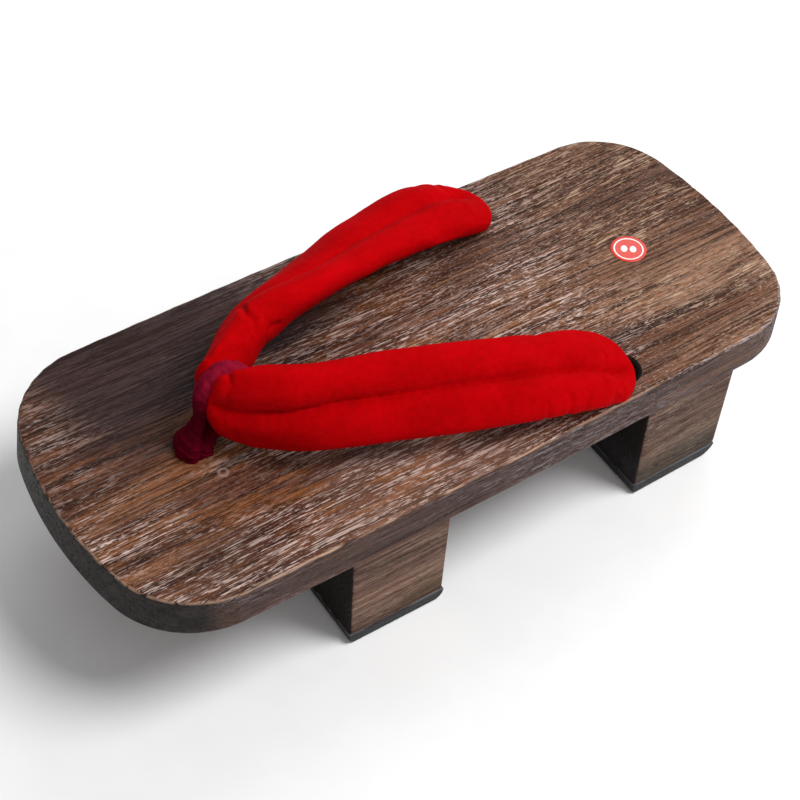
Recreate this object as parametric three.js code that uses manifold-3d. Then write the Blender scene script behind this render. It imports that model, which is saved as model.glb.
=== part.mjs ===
// Geta sandal: a wooden board on two teeth with rubber treads, held by a padded V-shaped strap
// and a gathered cloth thong. It is the same for the left and the right foot.
// Millimetres. +X points to the toe, +Y to the wearer's left, +Z up, and the origin is on the
// floor under the middle of the board.

import * as THREE from 'three';
import { mergeVertices } from 'three/addons/utils/BufferGeometryUtils.js';
import Module from 'manifold-3d';

const wasm = await Module();
wasm.setup();

// Board
const LENGTH = 245;
const WIDTH = 106;
const WIDEST_X = 29;
const SIDE_RADIUS = 4700;
const TOE_RADIUS = 131;
const TOE_CORNER = 30.5;
const HEEL_RADIUS = 180;
const HEEL_CORNER = 27;
const TOP = 52.3;
const BOARD_THICKNESS = 13.3;
const BOARD_EDGE = 1.2;
const UNDERSIDE = TOP - BOARD_THICKNESS;

// Holes through the board
const FRONT_HOLE = { x: 76.5, y: 0, radius: 6 };
const REAR_HOLE = { x: -48.5, y: 40, radius: 5.5 };
const HOLE_STEPS = 10;

// Teeth, each with a rubber tread: lean is how far the back face comes forward at the floor
const TEETH = [
  { name: 'front', front: 54.5, back: 19.5, lean: 0.8, frontCorner: 2, backCorner: 3.5 },
  { name: 'rear', front: -54.5, back: -90.5, lean: 1.2, frontCorner: 1.5, backCorner: 6.5 },
];
const TREAD_THICKNESS = 4;

// Clear space between pieces that touch
const GAP = 0.3;

// Padded strap, from the fold of the V to the rear hole, for the left side. up is the height over
// the board's top; half and thick are half the width and half the thickness of the section;
// lean is how far the broad face turns outward from level, in degrees.
const STRAP = [
  { x: 67.2, y: 2.8, up: 17.2, half: 14.2, thick: 6.6, lean: 86 },
  { x: 47.8, y: 18.3, up: 17.6, half: 13.4, thick: 7.3, lean: 58 },
  { x: 22, y: 27.2, up: 16.4, half: 13.2, thick: 6.6, lean: 37 },
  { x: -3, y: 34.4, up: 14.4, half: 13.4, thick: 6.2, lean: 20 },
  { x: -31.5, y: 39.2, up: 8.8, half: 13.5, thick: 6, lean: 9 },
  { x: -47.5, y: 40.8, up: 2, half: 11.2, thick: 5.4, lean: 9 },
];
const STRAP_STEPS = 18;
const STRAP_SIDES = 20;
const STRAP_FULLNESS = 2.3;
const FOLD_CAP = 6.5;
const TIP_CAP = 4.2;
const CAP_ANGLES = [28, 54, 76];
const CORD_RADIUS = 3.4;
const CORD_TOP = 3;

// Thong: a loop of gathered cloth in the plane y = 0, in front of the fold and behind it.
// across is half the width along Y, thick is half the thickness.
const THONG = [
  { x: 79, up: -13.3, across: 4.2, thick: 2.4 },
  { x: 79, up: -1, across: 4.4, thick: 2.4 },
  { x: 78, up: 3.2, across: 4.9, thick: 2.5 },
  { x: 75.2, up: 8.3, across: 3, thick: 2 },
  { x: 74, up: 13.5, across: 2.4, thick: 1.6 },
  { x: 74.4, up: 19.5, across: 2.8, thick: 1.6 },
  { x: 72.6, up: 25.2, across: 3.6, thick: 1.6 },
  { x: 66.8, up: 28.9, across: 4, thick: 1.7 },
  { x: 60.4, up: 26.6, across: 3.4, thick: 1.6 },
  { x: 57, up: 20.5, across: 2.6, thick: 1.6 },
  { x: 57, up: 13, across: 2.4, thick: 1.6 },
  { x: 60.5, up: 8, across: 2.6, thick: 1.6 },
  { x: 68, up: 6, across: 3.2, thick: 1.7 },
  { x: 72.7, up: 3.2, across: 4.8, thick: 2.3 },
  { x: 73.9, up: -1, across: 4.4, thick: 2.4 },
  { x: 73.9, up: -13.3, across: 4.2, thick: 2.4 },
];
const THONG_STEPS = 40;
const THONG_SIDES = 14;

// Knots under the board
const FRONT_KNOT = { length: 17, width: 18, height: 8 };
const REAR_KNOT = { length: 11.4, width: 17, height: 7.5 };
const KNOT_STEPS = 7;
const KNOT_SIDES = 18;
const KNOT_TURN = 118;

const WOOD = { color: 0x5c4336, roughness: 0.8, metalness: 0 };
const RUBBER = { color: 0x17171a, roughness: 0.85, metalness: 0 };
const VELVET = { color: 0xb8000a, roughness: 0.95, metalness: 0 };
const THONG_CLOTH = { color: 0x5e0a1c, roughness: 0.95, metalness: 0 };

const radians = THREE.MathUtils.degToRad;

// Solids

function solid(geometry) {
  const bare = geometry.clone();
  bare.deleteAttribute('normal');
  bare.deleteAttribute('uv');
  const merged = mergeVertices(bare);
  const mesh = new wasm.Mesh({
    numProp: 3,
    vertProperties: new Float32Array(merged.attributes.position.array),
    triVerts: new Uint32Array(merged.index.array),
  });
  return new wasm.Manifold(mesh);
}

function surface(manifold) {
  const mesh = manifold.getMesh();
  const geometry = new THREE.BufferGeometry();
  geometry.setAttribute('position', new THREE.BufferAttribute(mesh.vertProperties, 3));
  geometry.setIndex(new THREE.BufferAttribute(mesh.triVerts, 1));
  geometry.computeVertexNormals();
  return geometry;
}

function block(low, high) {
  const size = new THREE.Vector3().subVectors(high, low);
  const geometry = new THREE.BoxGeometry(size.x, size.y, size.z);
  geometry.translate(low.x + size.x / 2, low.y + size.y / 2, low.z + size.z / 2);
  return solid(geometry);
}

// A closed skin over a row of rings, with a point in the middle of the first and the last
function skin(rings) {
  const sides = rings[0].length;
  const positions = rings.flat().flatMap((point) => point.toArray());
  const triangles = [];
  for (let ring = 0; ring < rings.length - 1; ring++) {
    for (let side = 0; side < sides; side++) {
      const a = ring * sides + side;
      const b = ring * sides + (side + 1) % sides;
      triangles.push(a, b, a + sides, b, b + sides, a + sides);
    }
  }
  const last = (rings.length - 1) * sides;
  const startPole = rings.length * sides;
  const endPole = startPole + 1;
  for (const ring of [rings[0], rings[rings.length - 1]]) {
    const middle = new THREE.Vector3();
    ring.forEach((point) => middle.addScaledVector(point, 1 / sides));
    positions.push(...middle.toArray());
  }
  for (let side = 0; side < sides; side++) {
    const next = (side + 1) % sides;
    triangles.push(startPole, next, side);
    triangles.push(endPole, last + side, last + next);
  }
  const geometry = new THREE.BufferGeometry();
  geometry.setAttribute('position', new THREE.Float32BufferAttribute(positions, 3));
  geometry.setIndex(triangles);
  return geometry;
}

function mirrored(geometry) {
  const copy = geometry.clone();
  copy.scale(1, -1, 1);
  const index = copy.index.array;
  for (let i = 0; i < index.length; i += 3) {
    [index[i], index[i + 1]] = [index[i + 1], index[i]];
  }
  return copy;
}

// Board outline: toe, corner, side, corner and heel arcs, tangent to each other

function cornerCentre(side, sideReach, end, endReach, direction) {
  const across = new THREE.Vector2().subVectors(end, side);
  const apart = across.length();
  const along = (sideReach ** 2 - endReach ** 2 + apart ** 2) / (2 * apart);
  const off = Math.sqrt(sideReach ** 2 - along ** 2);
  const unit = across.normalize();
  const foot = side.clone().addScaledVector(unit, along);
  const normal = new THREE.Vector2(-unit.y, unit.x);
  const first = foot.clone().addScaledVector(normal, off);
  const second = foot.clone().addScaledVector(normal, -off);
  return (first.x - second.x) * direction > 0 ? first : second;
}

function bearing(from, to) {
  return Math.atan2(to.y - from.y, to.x - from.x);
}

function arc(centre, radius, from, to, steps) {
  const points = [];
  for (let step = 0; step < steps; step++) {
    const angle = from + (to - from) * step / steps;
    points.push(new THREE.Vector2(
      centre.x + radius * Math.cos(angle),
      centre.y + radius * Math.sin(angle),
    ));
  }
  return points;
}

function boardOutline() {
  const toe = new THREE.Vector2(LENGTH / 2 - TOE_RADIUS, 0);
  const side = new THREE.Vector2(WIDEST_X, WIDTH / 2 - SIDE_RADIUS);
  const heel = new THREE.Vector2(HEEL_RADIUS - LENGTH / 2, 0);
  const toeCorner = cornerCentre(side, SIDE_RADIUS - TOE_CORNER, toe, TOE_RADIUS - TOE_CORNER, 1);
  const heelCorner = cornerCentre(side, SIDE_RADIUS - HEEL_CORNER, heel, HEEL_RADIUS - HEEL_CORNER, -1);
  const toeEnd = bearing(toe, toeCorner);
  const sideStart = bearing(side, toeCorner);
  const sideEnd = bearing(side, heelCorner);
  const heelStart = bearing(heel, heelCorner);
  const left = [
    ...arc(toe, TOE_RADIUS, 0, toeEnd, 6),
    ...arc(toeCorner, TOE_CORNER, toeEnd, sideStart, 9),
    ...arc(side, SIDE_RADIUS, sideStart, sideEnd, 3),
    ...arc(heelCorner, HEEL_CORNER, sideEnd, heelStart, 9),
    ...arc(heel, HEEL_RADIUS, heelStart, Math.PI, 4),
    new THREE.Vector2(-LENGTH / 2, 0),
  ];
  const right = left.slice(1, -1).reverse().map((point) => new THREE.Vector2(point.x, -point.y));
  return [...left, ...right];
}

function boardGeometry() {
  const shape = new THREE.Shape(boardOutline());
  const holes = [FRONT_HOLE, REAR_HOLE, { ...REAR_HOLE, y: -REAR_HOLE.y }];
  for (const hole of holes) {
    const path = new THREE.Path();
    path.absarc(hole.x, hole.y, hole.radius, 0, 2 * Math.PI, true);
    shape.holes.push(path);
  }
  const geometry = new THREE.ExtrudeGeometry(shape, {
    depth: BOARD_THICKNESS - 2 * BOARD_EDGE,
    curveSegments: HOLE_STEPS,
    bevelThickness: BOARD_EDGE,
    bevelSize: BOARD_EDGE,
    bevelOffset: -BOARD_EDGE,
    bevelSegments: 2,
  });
  geometry.translate(0, 0, UNDERSIDE + BOARD_EDGE);
  return geometry;
}

// Teeth and treads: the side view of the pair, as wide as the board, cut to the board's outline

function toothSection(tooth) {
  const { front, back, lean, frontCorner, backCorner } = tooth;
  const backFoot = back + lean;
  const shape = new THREE.Shape();
  shape.moveTo(front, UNDERSIDE - GAP);
  shape.lineTo(back, UNDERSIDE - GAP);
  shape.lineTo(backFoot, backCorner);
  shape.absarc(backFoot + backCorner, backCorner, backCorner, Math.PI, 1.5 * Math.PI);
  shape.absarc(front - frontCorner, frontCorner, frontCorner, 1.5 * Math.PI, 2 * Math.PI);
  shape.closePath();
  return shape;
}

function toothBlock(tooth) {
  const geometry = new THREE.ExtrudeGeometry(toothSection(tooth), {
    depth: 2 * WIDTH,
    curveSegments: 4,
    bevelEnabled: false,
  });
  geometry.rotateX(Math.PI / 2);
  geometry.translate(0, WIDTH, 0);
  const footprint = new THREE.ExtrudeGeometry(new THREE.Shape(boardOutline()), {
    depth: UNDERSIDE,
    bevelEnabled: false,
  });
  return solid(geometry).intersect(solid(footprint));
}

function layer(from, to) {
  return block(new THREE.Vector3(-LENGTH, -WIDTH, from), new THREE.Vector3(LENGTH, WIDTH, to));
}

function toothGeometry(tooth) {
  return surface(toothBlock(tooth).intersect(layer(TREAD_THICKNESS + GAP, TOP)));
}

function treadGeometry(tooth) {
  return surface(toothBlock(tooth).intersect(layer(-GAP, TREAD_THICKNESS)));
}

// Padded strap

// A rounded section: half the width lies along broad, half the thickness along flat
function section(centre, broad, flat, half, thick, sides, fullness) {
  const ring = [];
  for (let side = 0; side < sides; side++) {
    const angle = 2 * Math.PI * side / sides;
    const cos = Math.cos(angle);
    const sin = Math.sin(angle);
    const u = Math.sign(cos) * Math.abs(cos) ** (2 / fullness) * half;
    const v = Math.sign(sin) * Math.abs(sin) ** (2 / fullness) * thick;
    ring.push(centre.clone().addScaledVector(broad, u).addScaledVector(flat, v));
  }
  return ring;
}

// A smooth curve through points given as three numbers each
function smooth(points) {
  const curve = new THREE.CatmullRomCurve3(points.map((point) => new THREE.Vector3(...point)));
  curve.curveType = 'catmullrom';
  return curve;
}

// The section's own directions: flat faces up when lean is 0 and outward, to +Y, when it is 90
function strapDirections(tangent, lean) {
  const level = new THREE.Vector3(0, 0, 1);
  level.addScaledVector(tangent, -level.dot(tangent)).normalize();
  const inward = new THREE.Vector3().crossVectors(level, tangent);
  const flat = level.clone().multiplyScalar(Math.cos(lean)).addScaledVector(inward, -Math.sin(lean));
  const broad = inward.clone().multiplyScalar(Math.cos(lean)).addScaledVector(level, Math.sin(lean));
  return { flat, broad };
}

function strapGeometry() {
  const route = smooth(STRAP.map((row) => [row.x, row.y, TOP + row.up]));
  const form = smooth(STRAP.map((row) => [row.half, row.thick, row.lean]));
  const ringAt = (t, shift, scale) => {
    const tangent = route.getTangent(t);
    const centre = route.getPoint(t).addScaledVector(tangent, shift);
    const size = form.getPoint(t);
    const { flat, broad } = strapDirections(tangent, radians(size.z));
    return section(centre, broad, flat, size.x * scale, size.y * scale, STRAP_SIDES, STRAP_FULLNESS);
  };
  const rings = [];
  for (const angle of [...CAP_ANGLES].reverse()) {
    const turn = radians(angle);
    rings.push(ringAt(0, -FOLD_CAP * Math.sin(turn), Math.cos(turn)));
  }
  for (let step = 0; step <= STRAP_STEPS; step++) {
    rings.push(ringAt(step / STRAP_STEPS, 0, 1));
  }
  for (const angle of CAP_ANGLES) {
    const turn = radians(angle);
    rings.push(ringAt(1, TIP_CAP * Math.sin(turn), Math.cos(turn)));
  }
  return skin(rings);
}

function cordGeometry(hole) {
  const length = BOARD_THICKNESS + CORD_TOP;
  const geometry = new THREE.CylinderGeometry(CORD_RADIUS, CORD_RADIUS, length, THONG_SIDES);
  geometry.rotateX(Math.PI / 2);
  geometry.translate(hole.x, hole.y, UNDERSIDE + length / 2);
  return geometry;
}

// Both straps joined at the fold, with a groove where the thong is pulled tight round it
function upperGeometry() {
  const strap = strapGeometry();
  const cord = cordGeometry(REAR_HOLE);
  return surface(solid(strap)
    .add(solid(mirrored(strap)))
    .subtract(layer(0, TOP + GAP))
    .subtract(solid(thongGeometry(GAP)))
    .add(solid(cord))
    .add(solid(mirrored(cord))));
}

// Thong

// swell makes it thicker all round
function thongGeometry(swell) {
  const route = smooth(THONG.map((row) => [row.x, 0, TOP + row.up]));
  const form = smooth(THONG.map((row) => [row.across, row.thick, 0]));
  const across = new THREE.Vector3(0, 1, 0);
  const rings = [];
  for (let step = 0; step <= THONG_STEPS; step++) {
    const t = step / THONG_STEPS;
    const size = form.getPoint(t);
    const flat = new THREE.Vector3().crossVectors(route.getTangent(t), across);
    rings.push(section(route.getPoint(t), across, flat, size.x + swell, size.y + swell, THONG_SIDES, 2));
  }
  return skin(rings);
}

// Knots: plain rounded lumps under the board, flat on top where they pull against it

function knotGeometry(knot, hole) {
  const profile = [new THREE.Vector2(0, -1)];
  for (let step = 1; step <= KNOT_STEPS; step++) {
    const angle = -Math.PI / 2 + radians(KNOT_TURN) * step / KNOT_STEPS;
    profile.push(new THREE.Vector2(Math.cos(angle), Math.sin(angle)));
  }
  const top = profile[profile.length - 1].y;
  profile.push(new THREE.Vector2(0, top));
  const geometry = new THREE.LatheGeometry(profile, KNOT_SIDES);
  geometry.rotateX(Math.PI / 2);
  geometry.translate(0, 0, -top);
  geometry.scale(knot.length / 2, knot.width / 2, knot.height / (1 + top));
  geometry.translate(hole.x, hole.y, UNDERSIDE - GAP);
  return geometry;
}

// Assembly

const sandal = new THREE.Group();

function piece(name, geometry, finish) {
  const mesh = new THREE.Mesh(geometry, new THREE.MeshStandardMaterial(finish));
  mesh.name = name;
  sandal.add(mesh);
}

piece('board', boardGeometry(), WOOD);
for (const tooth of TEETH) {
  piece(`${tooth.name}_tooth`, toothGeometry(tooth), WOOD);
  piece(`${tooth.name}_tread`, treadGeometry(tooth), RUBBER);
}
piece('upper', upperGeometry(), VELVET);
piece('thong', thongGeometry(0), THONG_CLOTH);
piece('front_knot', knotGeometry(FRONT_KNOT, FRONT_HOLE), THONG_CLOTH);
piece('rear_knot_left', knotGeometry(REAR_KNOT, REAR_HOLE), VELVET);
piece('rear_knot_right', knotGeometry(REAR_KNOT, { ...REAR_HOLE, y: -REAR_HOLE.y }), VELVET);

export default sandal;
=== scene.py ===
"""Looks of the geta sandal: burnt and brushed wood, rubber treads, padded velvet strap, gathered thong."""

import math

import bmesh
import bpy
import numpy as np
from mathutils import Matrix, Vector


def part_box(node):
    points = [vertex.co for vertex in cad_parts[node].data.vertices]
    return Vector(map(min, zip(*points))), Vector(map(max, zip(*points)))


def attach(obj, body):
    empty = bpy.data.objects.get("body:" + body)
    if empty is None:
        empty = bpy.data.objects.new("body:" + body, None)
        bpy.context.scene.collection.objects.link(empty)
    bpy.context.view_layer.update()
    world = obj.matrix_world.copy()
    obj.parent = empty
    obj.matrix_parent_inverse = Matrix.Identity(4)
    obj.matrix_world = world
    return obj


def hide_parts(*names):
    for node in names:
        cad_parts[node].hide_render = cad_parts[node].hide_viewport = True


MM = 0.001

# Board, in millimetres like every size here: the CAD model's outline and heights
LENGTH = 245.0
WIDTH = 106.0
WIDEST_X = 29.0
SIDE_RADIUS = 4700.0
TOE_RADIUS = 131.0
TOE_CORNER = 30.5
HEEL_RADIUS = 180.0
HEEL_CORNER = 27.0
TOP = 52.3
UNDERSIDE = 39.0
TOP_EDGE = 1.0
TOE_LEAN = 1.7

# Holes: x, y, radius. The rear one is the left one
FRONT_HOLE = (76.5, 0.0, 5.1)
REAR_HOLE = (-48.5, 40.0, 5.5)

# Teeth: how far they go up into the board, how high their foot is inside the tread, how far their
# sides are set in, and edge radii
TOOTH_INTO_BOARD = 2.2
TOOTH_FOOT = 3.0
TOOTH_INSET = 0.35
TOOTH_EDGE = 1.1
TREAD_EDGE = 0.45

# Left strap: x, y, height over the board, half width, half thickness, outward lean in degrees
STRAP = np.array([
    (67.2, 2.8, 17.2, 14.2, 6.6, 86.0),
    (47.8, 16.5, 17.6, 13.2, 7.3, 58.0),
    (22.0, 25.8, 16.4, 13.2, 6.6, 37.0),
    (-3.0, 34.2, 14.4, 13.8, 6.2, 20.0),
    (-31.5, 39.0, 8.6, 14.3, 6.0, 9.0),
    (-47.5, 40.3, 2.0, 12.8, 5.4, 9.0),
])

# Its section's squareness, how thick it is before it is filled, its rings, and its rounded ends
FULLNESS = 2.3
UNFILLED = 0.93
STRAP_RINGS = 62
STRAP_SIDES = 32
FOLD_CAP = 6.5
TIP_CAP = 5.6
TIP_ROUND = 5.4
CAP_ANGLES = (14, 30, 46, 62, 78)

# How far filling it may move a point, its stitches, and the seed of its uneven surface
INFLATE_REACH = 0.9
STITCH_PITCH = 3.1
STITCH_DEPTH = {"left": 1.7, "right": 0.9}
RIPPLE_SEED = {"left": 3, "right": 5}

# Thong, in the middle plane: x, height over the board, half width, half thickness
THONG = np.array([
    (78.5, -13.3, 4.4, 2.6),
    (78.5, -1.0, 5.2, 3.2),
    (77.8, 3.2, 5.0, 3.2),
    (75.6, 7.6, 3.2, 2.2),
    (73.6, 12.5, 2.4, 1.7),
    (73.6, 17.5, 2.6, 1.7),
    (72.2, 23.4, 2.9, 1.8),
    (66.8, 27.6, 3.1, 1.9),
    (60.8, 25.6, 2.9, 1.7),
    (57.6, 20.0, 2.6, 1.6),
    (57.4, 13.0, 2.4, 1.6),
    (60.5, 8.2, 2.6, 1.6),
    (67.6, 6.2, 3.2, 1.7),
    (73.2, 3.2, 4.9, 2.9),
    (74.5, -1.0, 5.2, 3.2),
    (74.5, -13.3, 4.4, 2.6),
])

# Size disc: where its middle is on the board
DISC = (-84.5, 0.6)

# The camera's azimuth, elevation and roll, and its place along its own right, up and back
VIEW_DEGREES = (36.41, 48.79, 3.788)
VIEW_PLACE = (-1.0217, 18.3373, 633.707)
LENS = 87.17

# Soft lights, in metres and watts: name, place, size, power
LIGHTS = [
    ("key", (-0.6, 0.5, 1.3), 0.75, 18.5),
    ("fill", (0.2, 1.1, 0.9), 1.2, 2.2),
    ("back", (-0.8, -0.7, 0.9), 1.0, 6),
]
LIT_POINT = (0, 0, 0.04)
ROOM_LIGHT = 0.29

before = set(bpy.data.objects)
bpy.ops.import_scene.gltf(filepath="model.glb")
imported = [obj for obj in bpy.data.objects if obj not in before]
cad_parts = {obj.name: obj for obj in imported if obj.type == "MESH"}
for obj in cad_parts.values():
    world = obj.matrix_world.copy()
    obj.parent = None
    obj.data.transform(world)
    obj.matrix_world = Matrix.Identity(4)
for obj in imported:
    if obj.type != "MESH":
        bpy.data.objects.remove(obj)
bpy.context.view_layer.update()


# Mesh helpers


def new_object(name, vertices, faces):
    """A mesh object from points in millimetres."""
    mesh = bpy.data.meshes.new(name)
    mesh.from_pydata([tuple(v) for v in np.asarray(vertices, float) * MM], [], [tuple(f) for f in faces])
    mesh.update()
    piece = bpy.data.objects.new(name, mesh)
    bpy.context.scene.collection.objects.link(piece)
    return piece


def copy_node(name, node):
    """A loose copy of a CAD node, merged and with its flat faces whole, to be shaped further."""
    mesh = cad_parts[node].data.copy()
    work = bmesh.new()
    work.from_mesh(mesh)
    bmesh.ops.remove_doubles(work, verts=work.verts, dist=1e-6)
    bmesh.ops.dissolve_limit(work, angle_limit=math.radians(1), verts=work.verts, edges=work.edges)
    bmesh.ops.recalc_face_normals(work, faces=work.faces)
    work.to_mesh(mesh)
    work.free()
    mesh.materials.clear()
    piece = bpy.data.objects.new(name, mesh)
    bpy.context.scene.collection.objects.link(piece)
    return piece


def points_of(piece):
    """The piece's points, in millimetres."""
    co = np.empty(len(piece.data.vertices) * 3)
    piece.data.vertices.foreach_get("co", co)
    return co.reshape(-1, 3) / MM


def set_points(piece, points):
    piece.data.vertices.foreach_set("co", (np.asarray(points) * MM).ravel())
    piece.data.update()


def apply_modifiers(piece):
    graph = bpy.context.evaluated_depsgraph_get()
    graph.update()
    mesh = bpy.data.meshes.new_from_object(piece.evaluated_get(graph))
    piece.modifiers.clear()
    piece.data = mesh
    mesh.name = piece.name


def smooth(piece, levels):
    modifier = piece.modifiers.new("smooth", "SUBSURF")
    modifier.levels = levels
    modifier.render_levels = levels
    apply_modifiers(piece)


def shade(piece, angle=180.0):
    """Smooth shading, with edges sharper than angle left crisp."""
    mesh = piece.data
    mesh.polygons.foreach_set("use_smooth", [True] * len(mesh.polygons))
    if angle < 180:
        mesh.set_sharp_from_angle(angle=math.radians(angle))


def weigh_normals(piece):
    """Keeps large flat faces flat next to their rounded edges."""
    shade(piece)
    modifier = piece.modifiers.new("normals", "WEIGHTED_NORMAL")
    modifier.weight = 100
    modifier.keep_sharp = True


def skin_faces(rings, sides):
    """Quads over a row of rings, closed at both ends by a fan round a middle point."""
    faces = []
    for ring in range(rings - 1):
        for side in range(sides):
            a = ring * sides + side
            b = ring * sides + (side + 1) % sides
            faces.append((a, b, b + sides, a + sides))
    start = rings * sides
    last = (rings - 1) * sides
    for side in range(sides):
        after = (side + 1) % sides
        faces.append((start, after, side))
        faces.append((start + 1, last + side, last + after))
    return faces


def closed_skin(name, rings):
    """A closed piece through rings that all have the same number of points."""
    rings = np.asarray(rings)
    middles = np.array([rings[0].mean(0), rings[-1].mean(0)])
    vertices = np.vstack([rings.reshape(-1, 3), middles])
    return new_object(name, vertices, skin_faces(len(rings), rings.shape[1]))


def spline(rows, t):
    """A point at share t of a smooth curve through the rows, and its direction."""
    count = len(rows)
    place = np.clip(t, 0, 1) * (count - 1)
    i = int(min(math.floor(place), count - 2))
    w = place - i
    p1, p2 = rows[i], rows[i + 1]
    p0 = rows[i - 1] if i > 0 else 2 * p1 - p2
    p3 = rows[i + 2] if i + 2 < count else 2 * p2 - p1
    linear = p2 - p0
    square = 2 * p0 - 5 * p1 + 4 * p2 - p3
    cube = 3 * p1 - 3 * p2 + p3 - p0
    point = 0.5 * (2 * p1 + linear * w + square * w**2 + cube * w**3)
    direction = 0.5 * (linear + 2 * square * w + 3 * cube * w**2)
    return point, direction


def unit(v):
    return v / np.linalg.norm(v)


def turn_angles(count):
    """Evenly spaced angles, once round."""
    return 2 * math.pi * np.arange(count) / count


def rise(value, low, high):
    """0 below low, 1 above high and smooth between."""
    t = np.clip((value - low) / (high - low), 0, 1)
    return t * t * (3 - 2 * t)


def ripples(points, wavelength, seed):
    """Smooth seeded noise, about -1 to 1, made of sines in scattered directions."""
    rng = np.random.default_rng(seed)
    total = np.zeros(len(points))
    for octave in range(3):
        for _ in range(5):
            direction = unit(rng.normal(size=3)) * 2 * math.pi / (wavelength / 1.9**octave)
            total += np.sin(points @ direction + rng.uniform(0, 6.28)) * 0.6**octave / 2.2
    return total / 1.6


# Material helpers


class Nodes:
    """Builds one material's node tree."""

    def __init__(self, name):
        self.material = bpy.data.materials.new(name)
        self.material.use_nodes = True
        self.tree = self.material.node_tree
        self.tree.nodes.clear()
        out = self.tree.nodes.new("ShaderNodeOutputMaterial")
        self.shader = self.tree.nodes.new("ShaderNodeBsdfPrincipled")
        self.tree.links.new(self.shader.outputs[0], out.inputs[0])
        place = self.tree.nodes.new("ShaderNodeTexCoord").outputs["Object"]
        self.place = self.vector("SCALE", place, scale=1 / MM)
        self.x, self.y, self.z = self.split(self.place)
        self.facing = self.split(self.tree.nodes.new("ShaderNodeNewGeometry").outputs["Normal"])

    def put(self, socket, value):
        if isinstance(value, bpy.types.NodeSocket):
            self.tree.links.new(value, socket)
        else:
            socket.default_value = value

    def math(self, operation, *values):
        node = self.tree.nodes.new("ShaderNodeMath")
        node.operation = operation
        for socket, value in zip(node.inputs, values):
            self.put(socket, value)
        return node.outputs[0]

    def vector(self, operation, *values, scale=None):
        node = self.tree.nodes.new("ShaderNodeVectorMath")
        node.operation = operation
        for socket, value in zip(node.inputs, values):
            self.put(socket, value)
        if scale is not None:
            node.inputs["Scale"].default_value = scale
        return node.outputs[0]

    def split(self, vector):
        node = self.tree.nodes.new("ShaderNodeSeparateXYZ")
        self.put(node.inputs[0], vector)
        return node.outputs[0], node.outputs[1], node.outputs[2]

    def length(self, vector):
        node = self.tree.nodes.new("ShaderNodeVectorMath")
        node.operation = "LENGTH"
        self.put(node.inputs[0], vector)
        return node.outputs["Value"]

    def join(self, x, y, z):
        node = self.tree.nodes.new("ShaderNodeCombineXYZ")
        for socket, value in zip(node.inputs, (x, y, z)):
            self.put(socket, value)
        return node.outputs[0]

    def noise(self, vector, scale=1.0, detail=3.0, roughness=0.55):
        node = self.tree.nodes.new("ShaderNodeTexNoise")
        self.put(node.inputs["Vector"], vector)
        node.inputs["Scale"].default_value = scale
        node.inputs["Detail"].default_value = detail
        node.inputs["Roughness"].default_value = roughness
        return node.outputs["Fac"]

    def band(self, value, low, high, first=0.0, last=1.0):
        """first below low, last above high and smooth between."""
        node = self.tree.nodes.new("ShaderNodeMapRange")
        node.interpolation_type = "SMOOTHSTEP"
        for socket, number in zip(node.inputs, (value, low, high, first, last)):
            self.put(socket, number)
        return node.outputs[0]

    def ramp(self, value, *stops):
        node = self.tree.nodes.new("ShaderNodeValToRGB")
        self.put(node.inputs[0], value)
        elements = node.color_ramp.elements
        while len(elements) < len(stops):
            elements.new(0.5)
        for element, (position, colour) in zip(elements, stops):
            element.position = position
            element.color = (*colour, 1)
        return node.outputs[0]

    def mix(self, share, a, b):
        node = self.tree.nodes.new("ShaderNodeMix")
        node.data_type = "RGBA"
        self.put(node.inputs["Factor"], share)
        self.put(node.inputs["A"], a if isinstance(a, bpy.types.NodeSocket) else (*a, 1))
        self.put(node.inputs["B"], b if isinstance(b, bpy.types.NodeSocket) else (*b, 1))
        return node.outputs["Result"]

    def chain(self, operation, values):
        result = values[0]
        for value in values[1:]:
            result = self.math(operation, result, value)
        return result

    def product(self, *values):
        return self.chain("MULTIPLY", values)

    def total(self, *values):
        return self.chain("ADD", values)

    def largest(self, *values):
        return self.chain("MAXIMUM", values)

    def minus(self, a, b):
        return self.math("SUBTRACT", a, b)

    def without(self, mask, share=1.0):
        """What is left of 1 when a share of the mask is taken away."""
        return self.minus(1.0, self.product(mask, share))

    def distance(self, x, y, centre):
        """How far x and y are from a point on the board, seen from above."""
        return self.length(self.join(self.minus(x, centre[0]), self.minus(y, centre[1]), 0.0))

    def bump(self, height, distance, strength):
        node = self.tree.nodes.new("ShaderNodeBump")
        node.inputs["Strength"].default_value = strength
        node.inputs["Distance"].default_value = distance
        self.put(node.inputs["Height"], height)
        self.tree.links.new(node.outputs[0], self.shader.inputs["Normal"])

    def surface(self, **values):
        for name, value in values.items():
            self.put(self.shader.inputs[name.replace("_", " ")], value)
        return self.material


def linear(value):
    """A 0 to 255 display value as linear light."""
    return ((value / 255 + 0.055) / 1.055) ** 2.4 if value > 10 else value / 255 / 12.92


def rgb(red, green, blue):
    return tuple(linear(value) for value in (red, green, blue))


# Materials


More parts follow.
